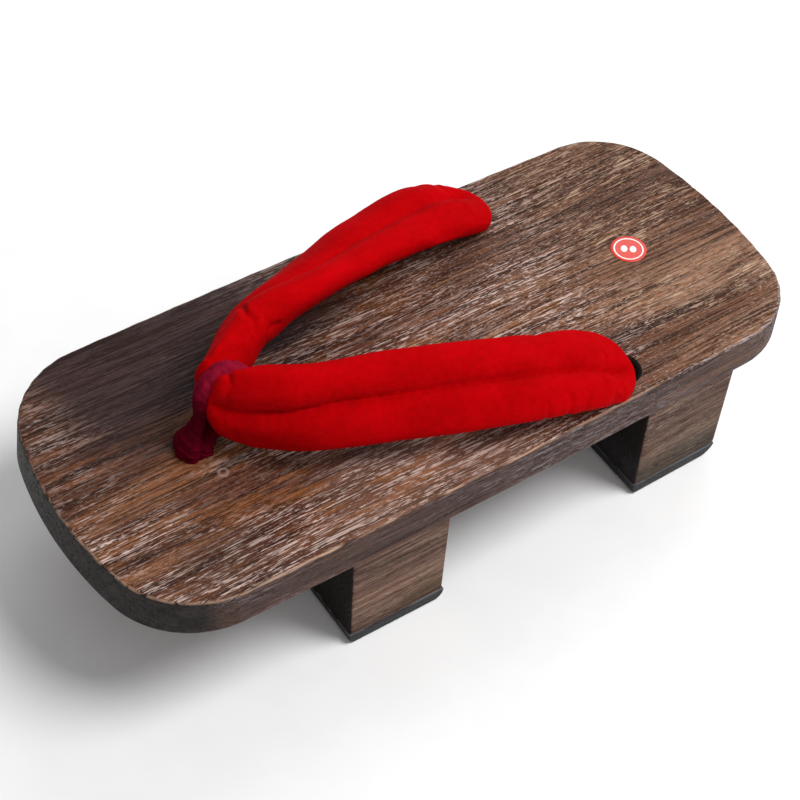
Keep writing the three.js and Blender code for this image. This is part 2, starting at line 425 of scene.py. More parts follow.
class Wood(Nodes):
    """Burnt, wire-brushed wood with its grain along X: a ground colour, the brushing, then the wear and the
    painted shade and highlight.
    """

    def __init__(self, name):
        super().__init__(name)
        slow = self.join(self.product(self.x, 0.008), self.product(self.y, 0.02), self.product(self.z, 0.02))
        waver = self.product(self.minus(self.noise(slow, detail=1), 0.5), 7.0)
        self.wavy_y = self.total(self.y, waver)
        self.wavy_z = self.total(self.z, waver)
        self.broad = self.grain(0.006, 0.07)
        self.figure = self.grain(0.008, 0.3, 3)
        self.fine = self.grain(0.05, 2.6)
        self.dots = self.grain(0.7, 2.4, 1)
        self.top = self.band(self.facing[2], 0.55, 0.9)
        self.side = self.without(self.top)

    def grain(self, along, across, detail=2, roughness=0.55):
        """Noise drawn out along the grain, from its scales along and across."""
        vector = self.join(
            self.product(self.x, along),
            self.product(self.wavy_y, across),
            self.product(self.wavy_z, across),
        )
        return self.noise(vector, detail=detail, roughness=roughness)

    def tone(self):
        """Light and dark wood, from broad growth rings down to single fibres."""
        rings = self.total(self.product(self.broad, 0.35), self.product(self.figure, 0.45))
        return self.total(rings, self.product(self.fine, 0.2))

    def build(self):
        colour, pale, dark, amount = self.ground()
        # brushed grooves, dark at the bottom
        lines = self.grain(0.022, 1.1, 3, 0.6)
        thin = self.product(self.band(self.fine, 0.44, 0.38), 0.8)
        groove = self.largest(self.band(lines, 0.46, 0.4), thin)
        colour = self.mix(self.product(groove, self.groove_share), colour, dark)
        speck = self.grain(0.5, 2.3)
        colour = self.mix(self.product(self.band(speck, 0.5, 0.38), 0.4), colour, dark)
        # pale residue of the brushing: long broken strokes, short ticks and dots
        patches = self.grain(0.02, 0.06)
        colour, where = self.rubbed(colour, self.band(patches, 0.4, 0.56, 0.14, 1.0))
        unbroken = self.band(self.grain(0.2, 0.5), 0.42, 0.55)
        long_stroke = self.product(self.band(self.grain(0.03, 1.9), 0.55, 0.6), unbroken, where)
        ticks = self.grain(0.16, 2.0, 2, 0.6)
        tick = self.product(self.band(ticks, 0.56, 0.61), self.band(speck, 0.4, 0.5), where)
        dot = self.product(
            self.band(self.dots, 0.6, 0.7), self.band(patches, 0.3, 0.5, 0.4, 1.0),
            self.band(self.x, 20, -40, 0.3, 0.75),
        )
        stroke = self.product(self.largest(long_stroke, tick, dot), amount, self.stroke_share)
        # wear, together with painted shade on end faces and in holes and a painted highlight on the board's
        # edge
        colour = self.worn(self.mix(stroke, colour, pale))
        relief = self.total(self.product(groove, -0.7), self.product(stroke, 0.5))
        self.bump(self.total(relief, self.product(self.figure, 0.6)), 0.00045, 0.7)
        roughness = self.band(groove, 0.0, 1.0, 0.5, 0.75)
        return self.surface(Base_Color=colour, Roughness=roughness, Specular_IOR_Level=self.shine)


class BoardWood(Wood):
    """The board: coloured by region, with rubbed and painted-highlit edges, greyed sides, and painted shade
    at the toe end, in the straps' fork and inside the holes.
    """

    groove_share = 0.75
    stroke_share = 0.88
    shine = 0.16

    def ground(self):
        """The wood's colour, the pale and dark of its brushing, and how much residue there is."""
        colour = self.ramp(
            self.tone(), (0.36, rgb(58, 34, 26)), (0.46, rgb(90, 55, 38)),
            (0.54, rgb(120, 76, 50)), (0.64, rgb(154, 104, 68)),
        )
        colour = self.heel_tan(self.between_straps(colour))
        charred = self.charred()
        colour = self.mix(self.product(charred, 0.9), colour, rgb(50, 38, 40))
        pale = self.mix(self.band(self.x, -50, -80), rgb(220, 194, 184), rgb(194, 162, 138))
        pale = self.mix(self.product(self.side, 0.7), pale, rgb(150, 150, 166))
        heel = self.band(self.x, -40, -80, 1.0, 0.85)
        dull = self.product(self.band(self.x, 55, 85), self.band(self.y, 22, -6))
        amount = self.product(heel, self.without(charred, 0.93), self.without(dull, 0.45))
        return colour, pale, rgb(34, 17, 11), amount

    def between_straps(self, colour):
        """Deep red-brown between the straps and behind the thong, with painted shade darkest in their fork.
        """
        lengthwise = self.product(self.band(self.x, -40, 10), self.band(self.x, 62, 100, 1.0, 0.2))
        warm = self.product(lengthwise, self.band(self.math("ABSOLUTE", self.y), 52, 40), self.top)
        colour = self.mix(self.product(warm, 0.66), colour, rgb(88, 40, 24))
        glow = self.product(warm, self.band(self.grain(0.03, 0.16), 0.48, 0.6), 0.8)
        colour = self.mix(glow, colour, rgb(150, 90, 44))
        # painted shade in the fork between the straps, broken up along the grain
        fork = self.product(
            self.band(self.x, -12, 20), self.band(self.y, -34, -26), self.band(self.y, 4, -8), self.top,
        )
        fork_shade_patches = self.band(self.grain(0.02, 0.3), 0.58, 0.44)
        return self.mix(self.product(fork, fork_shade_patches, 0.6), colour, rgb(44, 18, 11))

    def heel_tan(self, colour):
        """Tan towards the heel, and darker on its right side."""
        left_heel = self.product(self.band(self.x, -40, -100), self.band(self.y, -6, 14))
        tan = self.product(left_heel, self.band(self.broad, 0.36, 0.52), 0.45, self.top)
        colour = self.mix(tan, colour, rgb(174, 132, 106))
        dusky = self.product(self.band(self.x, 0, -35), self.band(self.y, 14, -6), 0.34)
        return self.mix(dusky, colour, rgb(64, 46, 42))

    def uneven(self):
        """A slow wandering, in millimetres, for the edges of stains."""
        return self.product(self.minus(self.broad, 0.5), 40.0)

    def charred(self):
        """Charcoal on the far side of the toe."""
        across = self.total(self.y, self.product(self.x, -0.12), self.uneven())
        toe_limit = self.band(self.total(self.x, self.product(self.y, 0.4)), 108, 80)
        return self.product(self.band(self.x, -20, 40), toe_limit, self.band(across, -2, -32), self.top)

    def rubbed(self, colour, where):
        """More residue, on paler wood, outside the left strap."""
        beside = self.product(
            self.band(self.y, 22, 36), self.band(self.x, -30, 10), self.band(self.x, 64, 44), self.top,
        )
        where = self.largest(where, beside)
        return self.mix(self.product(beside, 0.2), colour, rgb(170, 128, 106)), where

    def worn(self, colour):
        # greyed sides, and a near-black end at the toe: charred end grain, darkened further as painted shade
        colour = self.mix(self.product(self.side, 0.55), colour, rgb(60, 46, 43))
        # the toe's end face: real charred end grain, plus painted shade
        forward = self.band(self.facing[0], 0.15, 0.5)
        toe_end_char_and_shade = self.product(self.side, forward, self.band(self.x, 60, 90), 0.94)
        char_and_shade_colour = self.mix(self.band(self.figure, 0.4, 0.6), rgb(26, 24, 24), rgb(46, 42, 39))
        colour = self.mix(toe_end_char_and_shade, colour, char_and_shade_colour)
        # a smudge near the left corner of the toe
        away = self.join(self.product(self.minus(self.x, 88), 0.7), self.minus(self.y, 36), 0.0)
        reach = self.total(self.length(away), self.product(self.uneven(), 0.5))
        colour = self.mix(self.product(self.band(reach, 15, 4), self.top, 0.42), colour, rgb(50, 32, 26))
        # a small knot beside the thong
        knot = self.distance(self.x, self.y, (73.5, 12.5))
        ring = self.product(self.band(knot, 0.7, 1.1), self.band(knot, 2.0, 1.5), self.top, 0.5)
        colour = self.mix(ring, colour, rgb(168, 140, 130))
        return self.painted_hole_shade(self.edge_wear_and_highlight(colour))

    def edge_wear_and_highlight(self, colour):
        """Top edge rubbed down to the light wood, with a painted highlight along it, most at the toe and the
        left side, frosted at the heel.
        """
        upward = self.facing[2]
        rubbed = self.product(self.band(self.x, -70, 10, 0.25, 1.0), self.band(self.y, -30, 20, 0.3, 1.0))
        # pale rim on the rounded top edge: partly real wear, partly a painted highlight
        edge = self.product(
            self.band(upward, 0.3, 0.55), self.band(upward, 0.99, 0.88), rubbed,
            self.band(self.grain(0.06, 0.4, 3), 0.42, 0.56), self.band(self.x, 70, 100, 0.75, 0.45),
        )
        colour = self.mix(edge, colour, rgb(204, 166, 138))
        frost = self.product(
            self.band(upward, 0.02, 0.4), self.band(upward, 0.999, 0.97), self.band(self.x, -50, -80),
            self.band(self.y, 10, 30), self.band(self.dots, 0.5, 0.6), 0.7,
        )
        return self.mix(frost, colour, rgb(168, 166, 182))

    def painted_hole_shade(self, colour):
        """Painted shade: black inside each hole, but not on the faces above and below."""
        above = self.band(self.z, UNDERSIDE + 0.3, UNDERSIDE + 0.8)
        inside = self.product(above, self.band(self.z, TOP - 0.03, TOP - 0.12))
        for x, y, radius in (FRONT_HOLE, REAR_HOLE):
            away = self.distance(self.x, self.math("ABSOLUTE", self.y), (x, y))
            # painted shade on the hole's wall
            shade_in_hole = self.product(self.band(away, radius + 4.6, radius + 4.2), inside)
            colour = self.mix(shade_in_hole, colour, rgb(14, 8, 7))
        return colour


class ToothWood(Wood):
    """The teeth: duller wood, with the faces across the grain near black: charred end grain, darkened
    further as painted shade.
    """

    groove_share = 0.45
    stroke_share = 0.5
    shine = 0.08

    def ground(self):
        colour = self.ramp(
            self.tone(), (0.4, rgb(60, 43, 36)), (0.5, rgb(108, 80, 67)), (0.6, rgb(152, 120, 102)),
        )
        colour = self.mix(self.product(self.band(self.x, 10, -20), 0.35), colour, rgb(62, 48, 44))
        return colour, rgb(172, 148, 134), rgb(52, 37, 32), self.band(self.x, 10, -20, 0.65, 1.0)

    def rubbed(self, colour, where):
        return colour, where

    def worn(self, colour):
        # the faces across the grain, near black: charred end grain with painted shade added
        end = self.band(self.math("ABSOLUTE", self.facing[0]), 0.5, 0.8)
        colour = self.mix(self.product(end, 0.97), colour, rgb(17, 13, 12))
        # greyer towards the tread on the rear tooth, greener on the front one
        shaded = self.product(
            self.band(self.z, 20, 7), self.band(self.x, 0, -20),
            self.band(self.figure, 0.35, 0.55, 0.5, 1.0), 0.7,
        )
        colour = self.mix(shaded, colour, rgb(50, 46, 49))
        low = self.product(
            self.band(self.z, 22, 4), self.band(self.x, 45, 22), self.band(self.figure, 0.4, 0.6),
            self.without(end), 0.3,
        )
        return self.mix(low, colour, rgb(104, 98, 58))


def velvet_material(name, deep, bright, fuzz_tint, fuzz, crest_highlight=0.0):
    """Short-pile cloth: uneven nap, a soft light edge and a fine tooth."""
    n = Nodes(name)
    nap = n.noise(n.vector("MULTIPLY", n.place, (0.05, 0.07, 0.07)), detail=3)
    pile = n.noise(n.place, scale=2.6, detail=2, roughness=0.7)
    mottle = n.noise(n.place, scale=0.5, detail=4, roughness=0.6)
    tone = n.total(n.product(nap, 0.5), n.total(n.product(mottle, 0.35), n.product(pile, 0.15)))
    colour = n.mix(n.band(tone, 0.3, 0.7), deep, bright)
    # painted highlight: paler in the sheen's tint near the top, where it crosses the straps
    high = n.product(n.band(n.z, TOP + 17, TOP + 26), n.band(mottle, 0.3, 0.6, 0.5), crest_highlight)
    colour = n.mix(high, colour, fuzz_tint)
    lint = n.product(n.band(n.noise(n.place, scale=1.6, detail=1), 0.74, 0.82), 0.1)
    colour = n.mix(lint, colour, fuzz_tint)
    n.bump(n.total(n.product(pile, 0.6), mottle), 0.00025, 0.6)
    return n.surface(
        Base_Color=colour, Roughness=0.95, Specular_IOR_Level=0.03,
        Sheen_Weight=fuzz, Sheen_Roughness=0.35, Sheen_Tint=(*fuzz_tint, 1),
    )


def rubber_material(name):
    """Black rubber sheet, with its upper lip pale: partly scuffed, partly a painted highlight."""
    n = Nodes(name)
    fine = n.noise(n.place, scale=1.4, detail=4, roughness=0.7)
    smear = n.noise(n.vector("MULTIPLY", n.place, (0.06, 0.3, 0.5)), detail=3)
    colour = n.mix(n.band(smear, 0.4, 0.7), rgb(18, 18, 20), rgb(34, 34, 37))
    # pale upper rim, where it faces up: part scuff, part painted highlight
    lip = n.product(n.band(n.z, 3.0, 3.7), n.band(n.facing[2], 0.15, 0.6), n.band(smear, 0.4, 0.56), 0.5)
    colour = n.mix(lip, colour, rgb(104, 112, 124))
    n.bump(fine, 0.0002, 0.5)
    roughness = n.band(fine, 0.3, 0.7, 0.5, 0.72)
    return n.surface(Base_Color=colour, Roughness=roughness, Specular_IOR_Level=0.45)


def disc_material(name):
    """Red print with a ring and two plain dots, in place of a number."""
    n = Nodes(name)
    x = n.minus(n.x, DISC[0])
    y = n.minus(n.y, DISC[1])
    radius = n.length(n.join(x, y, 0.0))
    ring = n.product(n.band(radius, 4.4, 4.55), n.band(radius, 4.95, 4.8))
    along = n.minus(n.product(y, 0.6), n.product(x, 0.8))
    across = n.total(n.product(x, 0.6), n.product(y, 0.8))
    apart = n.math("ABSOLUTE", n.minus(n.math("ABSOLUTE", along), 1.45))
    dots = n.band(n.length(n.join(apart, n.product(across, 0.72), 0.0)), 1.15, 0.95)
    grain = n.noise(n.place, scale=1.2, detail=3)
    red = n.mix(n.band(grain, 0.3, 0.7), rgb(204, 44, 30), rgb(214, 56, 40))
    colour = n.mix(n.largest(ring, dots), red, rgb(250, 240, 238))
    n.bump(grain, 0.00003, 0.4)
    return n.surface(Base_Color=colour, Roughness=0.35)


BOARD_WOOD = BoardWood("board_wood").build()
TOOTH_WOOD = ToothWood("tooth_wood").build()
RUBBER = rubber_material("tread_rubber")
VELVET = velvet_material("red_velvet", rgb(158, 0, 3), rgb(186, 0, 7), rgb(255, 60, 70), 0.05)
CRIMSON = velvet_material("crimson_cloth", rgb(68, 0, 15), rgb(100, 4, 27), rgb(170, 24, 56), 0.15, 0.5)


# Board


def corner_centre(side, side_reach, end, end_reach, direction):
    """Where a corner's arc has its centre: at given distances from the side's and the end's centres."""
    across = end - side
    apart = np.linalg.norm(across)
    along = (side_reach**2 - end_reach**2 + apart**2) / (2 * apart)
    off = math.sqrt(side_reach**2 - along**2)
    foot = side + across / apart * along
    normal = np.array([-across[1], across[0]]) / apart
    first, second = foot + normal * off, foot - normal * off
    return first if (first[0] - second[0]) * direction > 0 else second


def bearing(start, end):
    return math.atan2(end[1] - start[1], end[0] - start[0])


def board_outline(inset):
    """Points round the board, set in from its edge."""
    toe = np.array([LENGTH / 2 - TOE_RADIUS, 0])
    side = np.array([WIDEST_X, WIDTH / 2 - SIDE_RADIUS])
    heel = np.array([HEEL_RADIUS - LENGTH / 2, 0])
    toe_corner = corner_centre(side, SIDE_RADIUS - TOE_CORNER, toe, TOE_RADIUS - TOE_CORNER, 1)
    heel_corner = corner_centre(side, SIDE_RADIUS - HEEL_CORNER, heel, HEEL_RADIUS - HEEL_CORNER, -1)
    arcs = [
        (toe, TOE_RADIUS, 0.0, bearing(toe, toe_corner), 16),
        (toe_corner, TOE_CORNER, bearing(toe, toe_corner), bearing(side, toe_corner), 26),
        (side, SIDE_RADIUS, bearing(side, toe_corner), bearing(side, heel_corner), 40),
        (heel_corner, HEEL_CORNER, bearing(side, heel_corner), bearing(heel, heel_corner), 24),
        (heel, HEEL_RADIUS, bearing(heel, heel_corner), math.pi, 12),
    ]
    left = []
    for centre, radius, start, end, steps in arcs:
        for step in range(steps):
            angle = start + (end - start) * step / steps
            left.append(centre + (radius - inset) * np.array([math.cos(angle), math.sin(angle)]))
    left.append(np.array([-LENGTH / 2 + inset, 0]))
    right = [np.array([p[0], -p[1]]) for p in left[-2:0:-1]]
    return np.array(left + right)


def from_middle(points):
    """Each point's direction from the board's long middle line."""
    centre = np.column_stack([np.clip(points[:, 0], -80, 80), np.zeros(len(points))])
    away = points - centre
    return away / np.linalg.norm(away, axis=1)[:, None]


def board_walls():
    """Rings up the board's outside: softened edges, and a toe that slopes back as it rises."""
    levels = [(UNDERSIDE, 0.7), (UNDERSIDE + 0.2, 0.2), (UNDERSIDE + 0.7, 0.0)]
    levels += [(TOP - 4.5, 0.0), (TOP - TOP_EDGE, 0.05)]
    for angle in (22, 45, 68, 90):
        turn = math.radians(angle)
        levels.append((TOP - TOP_EDGE + TOP_EDGE * math.sin(turn), 0.05 + TOP_EDGE * (1 - math.cos(turn))))
    rings = []
    for z, inset in levels:
        outline = board_outline(inset)
        lean = TOE_LEAN * (z - UNDERSIDE) / (TOP - UNDERSIDE) * rise(outline[:, 0], 60, 122)
        wobble = 0.1 * np.sin(outline[:, 0] * 0.9 + outline[:, 1] * 0.7) * (z > TOP - 2)
        shifted = outline - from_middle(outline) * wobble[:, None]
        rings.append(np.column_stack([shifted[:, 0] - lean, shifted[:, 1], np.full(len(outline), z)]))
    return rings


def hole_walls(x, y, radius):
    """Rings up a hole, opened out at both faces. The left rear one is worn wider and backwards."""
    worn, back, out = (1.1, 1.6, 0.8) if y > 0 else (0.2, 0, 0)
    angles = np.linspace(0, 2 * math.pi, 48, endpoint=False)
    rings = []
    for z, share in ((UNDERSIDE, 0.5), (UNDERSIDE + 0.5, 0), (TOP - 3, 0), (TOP - 1, 0.55), (TOP, 1)):
        reach = radius + worn * share
        ring_x = x - back * share + reach * np.cos(angles)
        ring_y = y + out * share + reach * np.sin(angles)
        rings.append(np.column_stack([ring_x, ring_y, np.full(len(angles), z)]))
    return rings


def board_piece():
    """The board: its outside, the walls of three holes, and flat faces between them."""
    vertices, faces = [], []

    def add_wall(rings, inward):
        """Adds the wall and gives the first point of its bottom and top ring, and their size."""
        start = len(vertices)
        count = len(rings[0])
        for ring in rings:
            vertices.extend(ring)
        for level in range(len(rings) - 1):
            for i in range(count):
                a = start + level * count + i
                b = start + level * count + (i + 1) % count
                quad = (a, b, b + count, a + count)
                faces.append(quad[::-1] if inward else quad)
        return start, start + (len(rings) - 1) * count, count

    loops = [add_wall(board_walls(), False)]
    for hole in (FRONT_HOLE, REAR_HOLE, (REAR_HOLE[0], -REAR_HOLE[1], REAR_HOLE[2])):
        loops.append(add_wall(hole_walls(*hole), True))
    piece = new_object("board_wood", vertices, faces)
    work = bmesh.new()
    work.from_mesh(piece.data)
    work.verts.ensure_lookup_table()
    for which in (0, 1):
        chosen = set()
        for loop in loops:
            chosen.update(range(loop[which], loop[which] + loop[2]))
        edges = [e for e in work.edges if e.is_boundary and all(v.index in chosen for v in e.verts)]
        bmesh.ops.triangle_fill(work, edges=edges, use_beauty=True, use_dissolve=False)
    bmesh.ops.recalc_face_normals(work, faces=work.faces)
    work.to_mesh(piece.data)
    work.free()
    weigh_normals(piece)
    return piece


def soften(piece, width, segments):
    modifier = piece.modifiers.new("edge", "BEVEL")
    modifier.width = width * MM
    modifier.segments = segments
    modifier.limit_method = "ANGLE"
    modifier.angle_limit = math.radians(35)
    apply_modifiers(piece)
    weigh_normals(piece)


def tooth_piece(name, node):
    """A tooth, let a little into the board and into its tread."""
    piece = copy_node(name, node)
    points = points_of(piece)
    middle = (points.min(0) + points.max(0)) / 2
    half = (points.max(0) - points.min(0)) / 2
    for axis in (0, 1):
        narrower = 1 - TOOTH_INSET / half[axis]
        points[:, axis] = middle[axis] + (points[:, axis] - middle[axis]) * narrower
    height = points[:, 2]
    height = np.where(height > UNDERSIDE - 1, UNDERSIDE + TOOTH_INTO_BOARD, height)
    points[:, 2] = np.where(height < TOOTH_FOOT + 1.4, TOOTH_FOOT, height)
    set_points(piece, points)
    soften(piece, TOOTH_EDGE, 4)
    return piece


def tread_piece(name, node):
    piece = copy_node(name, node)
    soften(piece, TREAD_EDGE, 3)
    return piece


def finish_piece(piece, material, slot, *nodes):
    """Gives the piece its material, hangs it on the root body, and hides the CAD nodes it replaces."""
    piece.data.materials.clear()
    piece.data.materials.append(material)
    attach(piece, "root")
    if nodes:
        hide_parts(*nodes)
    return piece


finish_piece(board_piece(), BOARD_WOOD, "wood", "board")
for which in ("front", "rear"):
    finish_piece(tooth_piece(f"{which}_tooth_wood", f"{which}_tooth"), TOOTH_WOOD, "wood", f"{which}_tooth")
    finish_piece(tread_piece(f"{which}_tread_rubber", f"{which}_tread"), RUBBER, "rubber", f"{which}_tread")


# Padded strap


def strap_axes(direction, lean):
    """The strap's own directions at a place: across its broad face, and out of it."""
    level = unit(np.array([0, 0, 1.0]) - direction * direction[2])
    inward = np.cross(level, direction)
    turn = math.radians(lean)
    flat = level * math.cos(turn) - inward * math.sin(turn)
    broad = inward * math.cos(turn) + level * math.sin(turn)
    return broad, flat


class StrapLine:
    """The strap's middle line, sampled, with its own directions and its length so far."""

    def __init__(self):
        self.centre, self.along, self.broad, self.flat, self.size = [], [], [], [], []
        for t in np.linspace(0, 1, 240):
            row, direction = spline(STRAP, t)
            direction = unit(direction[:3])
            broad, flat = strap_axes(direction, row[5])
            self.centre.append(row[:3] + (0, 0, TOP))
            self.along.append(direction)
            self.broad.append(broad)
            self.flat.append(flat)
            self.size.append(row[3:5])
        for name in ("centre", "along", "broad", "flat", "size"):
            setattr(self, name, np.array(getattr(self, name)))
        steps = np.linalg.norm(np.diff(self.centre, axis=0), axis=1)
        self.length = np.concatenate([[0], np.cumsum(steps)])

    def place(self, points):
        """For each point: its length along the line, and its offsets along broad and flat."""
        nearest = np.empty(len(points), int)
        for start in range(0, len(points), 4000):
            block = points[start:start + 4000]
            apart = ((block[:, None, :] - self.centre[None, :, :]) ** 2).sum(2)
            nearest[start:start + 4000] = apart.argmin(1)
        offset = points - self.centre[nearest]
        along = (offset * self.along[nearest]).sum(1)
        return (
            self.length[nearest] + along, (offset * self.broad[nearest]).sum(1),
            (offset * self.flat[nearest]).sum(1), nearest,
        )


LINE = StrapLine()
STRAP_LENGTH = LINE.length[-1]


def strap_rings():
    """Rings of the left strap before it is filled, rounded off at both ends."""
    angle = turn_angles(STRAP_SIDES)

    def ring_at(t, shift, share):
        row, direction = spline(STRAP, t)
        direction = unit(direction[:3])
        broad, flat = strap_axes(direction, row[5])
        centre = row[:3] + (0, 0, TOP) + direction * shift
        to_tip = -shift if t == 1 else np.linalg.norm(row[:3] - STRAP[-1, :3])
        near_end = np.clip((TIP_ROUND - to_tip) / (TIP_ROUND + TIP_CAP), 0, 1)
        narrow = math.sqrt(1 - near_end**2) * (share if t == 0 else 1)
        u = np.sign(np.cos(angle)) * np.abs(np.cos(angle)) ** (2 / FULLNESS) * row[3] * narrow
        v = np.sign(np.sin(angle)) * np.abs(np.sin(angle)) ** (2 / FULLNESS) * row[4] * share * UNFILLED
        return centre + u[:, None] * broad + v[:, None] * flat

    turns = [math.radians(degrees) for degrees in CAP_ANGLES]
    fold_end = [ring_at(0, -FOLD_CAP * math.sin(turn), math.cos(turn)) for turn in reversed(turns)]
    middle = [ring_at(step / STRAP_RINGS, 0, 1) for step in range(STRAP_RINGS + 1)]
    tip = [ring_at(1, TIP_CAP * math.sin(turn), math.cos(turn)) for turn in turns]
    return np.array(fold_end + middle + tip)


def inflate(piece, pinned, cap):
    """Fills the piece like a stuffed tube: cloth under pressure, each point kept within cap of its start."""
    frames = 20
    start = points_of(piece)
    group = piece.vertex_groups.new(name="pinned")
    for i in np.flatnonzero(pinned > 0.01):
        group.add([int(i)], float(pinned[i]), "REPLACE")
    cloth = piece.modifiers.new("cloth", "CLOTH")
    settings = cloth.settings
    settings.quality = 6
    settings.mass = 0.15
    settings.use_pressure = True
    settings.uniform_pressure_force = 4
    settings.tension_stiffness = 25
    settings.compression_stiffness = 25
    settings.shear_stiffness = 10
    settings.bending_stiffness = 2
    settings.shrink_min = -0.04
    settings.effector_weights.gravity = 0
    settings.vertex_group_mass = group.name
    cloth.collision_settings.use_collision = False
    cloth.collision_settings.use_self_collision = False
    cloth.point_cache.frame_start = 1
    cloth.point_cache.frame_end = frames
    for number in range(1, frames + 1):
        bpy.context.scene.frame_set(number)
    apply_modifiers(piece)
    piece.vertex_groups.clear()
    bpy.context.scene.frame_set(1)
    move = points_of(piece) - start
    reach = np.linalg.norm(move, axis=1)
    held = np.minimum(reach, cap * (1 - np.exp(-reach / cap)))
    set_points(piece, start + move * (held / np.maximum(reach, 1e-9))[:, None])


# Where each strap's seam runs: place along it, place across it
SEAMS = {
    "left": [(-5, 4.4), (0, 2.2), (3, 0.7), (8, 0.2), (22, 0.8), (29, 1.2), (45, 0.3), (60, -0.4),
             (81, -0.7), (97, -2.0), (110, -3.2), (126, -4.4)],
    "right": [(-5, -1.5), (10, -1.0), (26, 0.0), (36, 2.4), (44, 4.2), (54, 5.0), (64, 3.4), (71, 2.5),
              (84, 1.8), (99, -0.4), (126, -1.0)],
}

# Folds pressed into each strap: place along it, place round it, angle of the fold,
# half its length, half its width, depth
FOLDS = {
    "left": [
        (99.0, -13.0, 80, 2.6, 0.8, 0.55),
        (91.5, -13.5, 95, 2.2, 0.7, 0.45),
        (105.0, -12.8, 70, 2.2, 0.7, 0.35),
        (2.0, 13.4, 110, 3.2, 0.8, 0.55),
        (9.0, -9.0, -14, 8.0, 1.8, 0.3),
        (70.0, -6.0, 92, 3.0, 1.0, 0.2),
    ],
    "right": [
        (20.4, 11.2, 135, 8.0, 0.8, 0.95),
        (25.0, 16.1, 8, 3.0, 0.8, 0.6),
        (13.0, 17.0, 120, 3.0, 0.8, 0.4),
    ],
}


def seam_push(side, length, u):
    """The seam down the strap's face: a wide valley, a stitched crease and puckers beside it."""
    seam = np.array(SEAMS[side], float)
    across = u - np.interp(length, seam[:, 0], seam[:, 1]) - 0.2 * np.sin(length / 5.1 + 1)
    near_fold = np.exp(-np.maximum(length, 0) / 22)
    valley = (1.8 + 0.8 * near_fold) * np.exp(-(across / (3.2 + 1.2 * near_fold)) ** 2)
    stitches = length * 2 * math.pi / STITCH_PITCH
    crease = STITCH_DEPTH[side] * (1 + 0.14 * np.sin(stitches)) * np.exp(-(across / 0.7) ** 2)
    pucker = np.exp(-np.abs(across) / 2.6) * (np.abs(across) > 0.3)
    ends = rise(length, -6, 0) * (1 - rise(length, STRAP_LENGTH - 5, STRAP_LENGTH + 3))
    return (0.08 * pucker * np.sin(stitches + across * 0.5) - valley - crease) * ends


def fold_push(side, length, round_it):
    """The folds pressed in, each with a low ridge on both sides."""
    push = np.zeros(len(length))
    for place, off, angle, reach, width, deep in FOLDS[side]:
        turn = math.radians(angle)
        along = (length - place) * math.cos(turn) + (round_it - off) * math.sin(turn)
        apart = -(length - place) * math.sin(turn) + (round_it - off) * math.cos(turn)
        bend = apart - 0.02 * along**2
        mark = np.exp(-(along / reach) ** 4)
        push -= deep * mark * np.exp(-(bend / width) ** 2)
        push += 0.2 * deep * mark * np.exp(-((np.abs(bend) - 2.2 * width) / (1.3 * width)) ** 2)
    return push


def draw_in(points):
    """Draws the fold in under the thong, and presses it against the other strap in the middle."""
    hub = np.array([66.0, 0, TOP + 16.0])
    low = points[:, 2] < hub[2]
    drawn = (1 - rise(points[:, 1], 1.4, np.where(low, 13.0, 6.0))) * rise(points[:, 0], 48, 60)
    points[:, 2] += (hub[2] - points[:, 2]) * np.where(low, 0.26, 0.2) * drawn
    points[:, 0] += (hub[0] - points[:, 0]) * 0.1 * drawn
    points[:, 1] = np.maximum(points[:, 1], 0.12)
    points[:, 2] = np.maximum(points[:, 2], TOP + 0.25)


def right_strap(points, length, u, broad):
    """The right strap's own line, mirrored over from the left one's points."""
    points[:, 0] -= 1.8 * rise(length, STRAP_LENGTH - 30, STRAP_LENGTH)
    # higher and broader past the thong
    points[:, 2] += 1.1 * rise(length, 8, 20) * (1 - rise(length, 28, 52))
    broader = rise(length, 22, 42) * (1 - rise(length, 50, 66))
    points += broad * (0.1 * u * broader)[:, None]
    # lower and closer in along its middle
    slack = rise(length, 48, 72) * (1 - rise(length, 82, 106))
    points[:, 2] -= 1.4 * slack
    points[:, 1] -= 1.0 * slack
    points[:, 1] *= -1


def strap_piece(name, side):
    """One padded velvet strap: inflated, then given its seam, its folds and its puckers."""
    piece = closed_skin(name, strap_rings())
    length = LINE.place(points_of(piece))[0]
    pinned = np.maximum(rise(length, STRAP_LENGTH - 10, STRAP_LENGTH), rise(-length, -5, 3))
    inflate(piece, np.clip(pinned, 0, 1), INFLATE_REACH)
    smooth(piece, 2)
    points = points_of(piece)
    length, u, v, nearest = LINE.place(points)
    flat, broad = LINE.flat[nearest], LINE.broad[nearest]
    round_it = np.where(v >= 0, u, np.sign(u) * 2 * LINE.size[nearest, 0] - u)
    push = seam_push(side, length, u) * (v > 0)
    push += 0.16 * ripples(points, 30, RIPPLE_SEED[side])
    push += fold_push(side, length, round_it)
    outward = flat * np.sign(v)[:, None] * rise(np.abs(v), 0.3, 3.0)[:, None]
    sideways = broad * np.sign(u)[:, None] * rise(np.abs(u), 8, 12)[:, None]
    direction = outward + sideways
    direction /= np.maximum(np.linalg.norm(direction, axis=1), 0.3)[:, None]
    points = points + direction * push[:, None]
    draw_in(points)
    if side == "right":
        right_strap(points, length, u, broad)
    set_points(piece, points)
    if side == "right":
        piece.data.flip_normals()
    shade(piece)
    return piece


